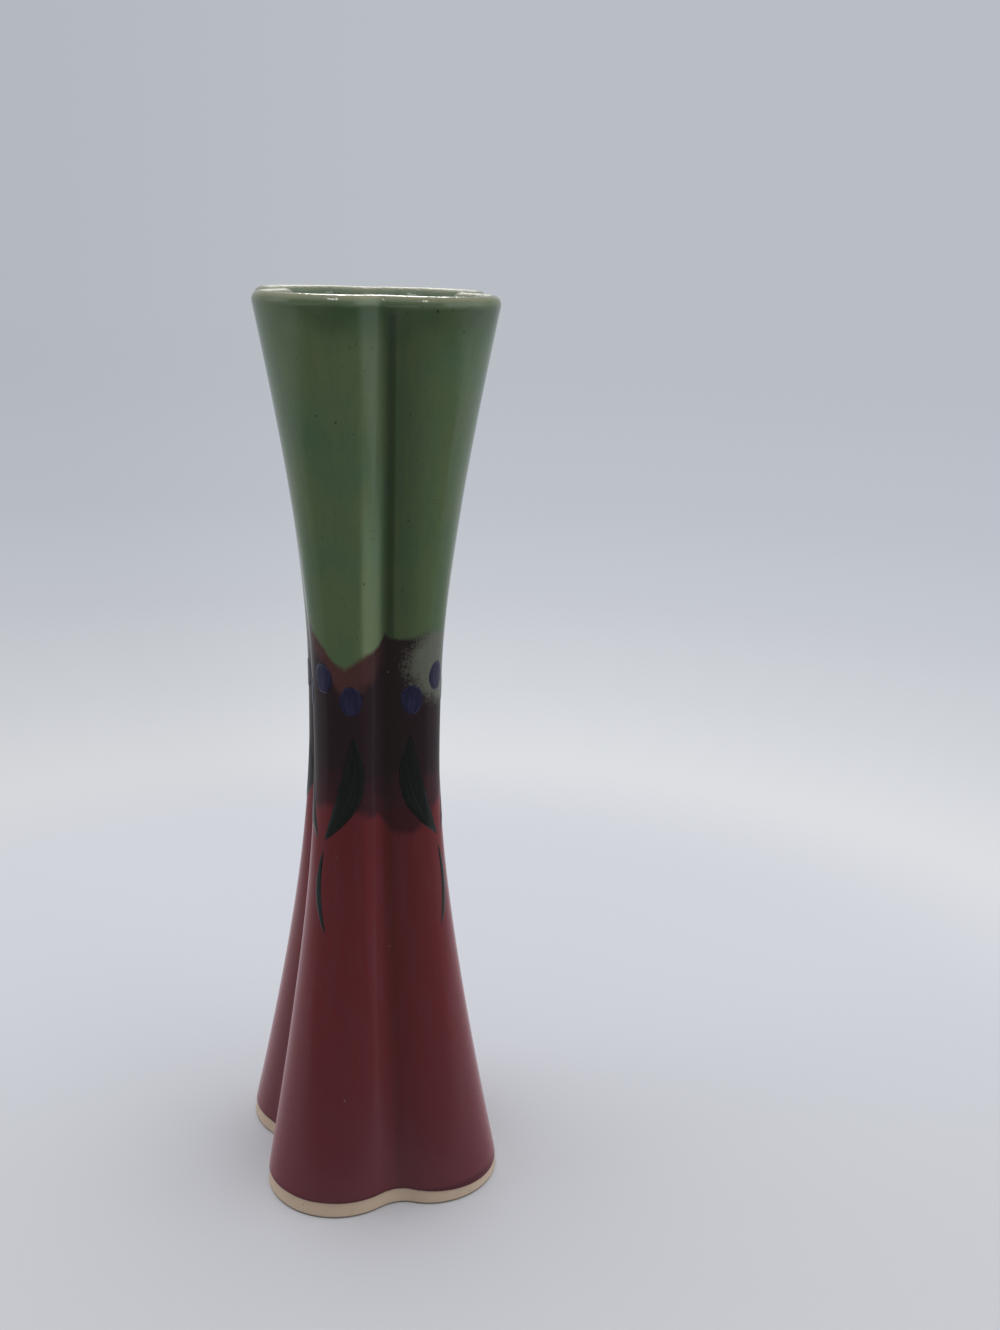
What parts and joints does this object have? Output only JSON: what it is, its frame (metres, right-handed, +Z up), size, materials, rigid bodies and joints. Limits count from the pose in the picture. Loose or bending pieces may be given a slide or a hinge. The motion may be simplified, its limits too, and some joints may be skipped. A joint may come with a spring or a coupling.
{
  "type": "ceramic vase",
  "caption": "Tall four-lobed vase with a narrow waist, flared mouth and foot, open from mouth to floor; glazed clay wall on a flat foot slab.",
  "frame": {"origin": "centre of the foot's flat underside", "axes": "+Z up the vase from foot to mouth, +X to the right, -Y towards the front groove at the foot"},
  "size_m": [0.0536, 0.0606, 0.2],
  "materials": {
    "bare_clay": "unglazed fired clay, fine matt tooth",
    "green_glaze": "glossy celadon green with fine iron specks, breaking pale at the lip",
    "red_glaze": "glossy brick red, browner towards the foot",
    "plum_glaze": "glossy dark plum, mottled where the two coats cross",
    "black_pigment": "glossy black brushed pigment",
    "blue_pigment": "glossy cobalt blue brushed pigment"
  },
  "bodies": {
    "root": {"foot_slab": "bare_clay", "clay_wall": "bare_clay", "lining_glaze": "green_glaze", "red_glaze": "red_glaze", "overlap_glaze": "plum_glaze", "green_glaze": "green_glaze", "black_leaves": "black_pigment", "blue_berries": "blue_pigment"}
  },
  "joints": []
}
